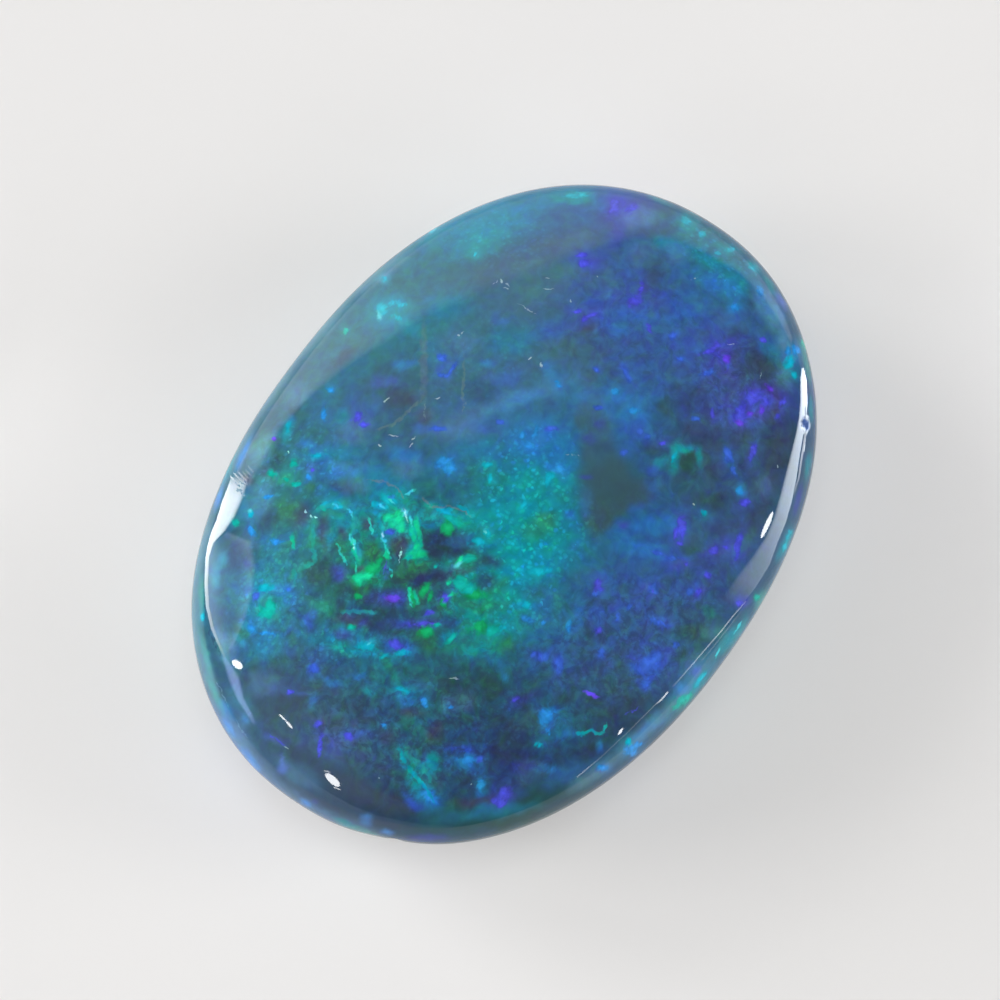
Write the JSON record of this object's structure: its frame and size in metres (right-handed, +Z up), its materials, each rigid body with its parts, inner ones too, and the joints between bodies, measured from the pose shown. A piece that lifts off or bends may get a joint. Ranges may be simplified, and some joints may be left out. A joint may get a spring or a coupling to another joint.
{
  "type": "black opal cabochon",
  "caption": "Loose oval black opal, hand cut as a low-domed cabochon with a rounded girdle and a flat back, polished, with blue, green and violet play of colour.",
  "frame": {"origin": "under the middle of the stone, on the surface that its flat back rests on", "axes": "+X along the stone's length, +Y across it, +Z up through the top of the dome"},
  "size_m": [0.0124, 0.009, 0.0029],
  "materials": {
    "polished_opal": "glossy polished stone with play of colour over dark potch"
  },
  "bodies": {
    "root": {"black_opal": "polished_opal"}
  },
  "joints": []
}
